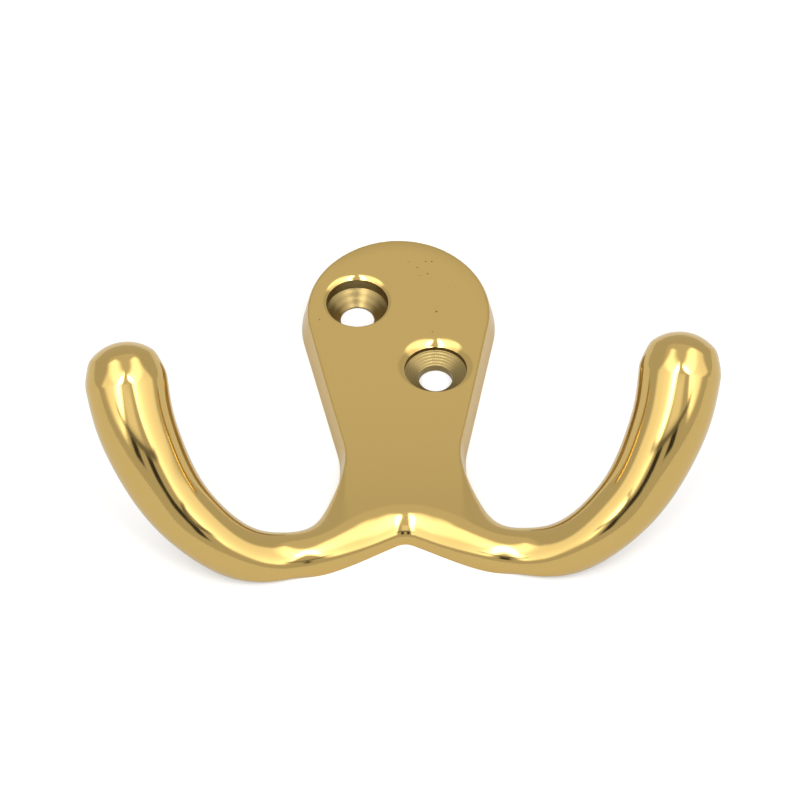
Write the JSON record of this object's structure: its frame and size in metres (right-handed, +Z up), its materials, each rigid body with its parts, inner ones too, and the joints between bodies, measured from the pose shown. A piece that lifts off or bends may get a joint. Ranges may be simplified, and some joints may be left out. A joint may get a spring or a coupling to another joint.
{
  "type": "hat and coat hook",
  "caption": "Double hat and coat hook: a dished keyhole-shaped back plate with diagonal countersunk screw holes, and arms that sweep out and up from its foot to ball ends",
  "frame": {"origin": "on the wall plane behind the plate, on the hook's centreline, at mid-height of the two screw holes", "axes": "+Z up the wall, +X to the right seen from the front, +Y into the wall, so the arms project to -Y"},
  "size_m": [0.089, 0.0296, 0.0626],
  "materials": {
    "brass": "polished cast brass, satin on the face of the plate, with machined screw recesses"
  },
  "bodies": {
    "root": {"double_hook": "brass"}
  },
  "joints": []
}
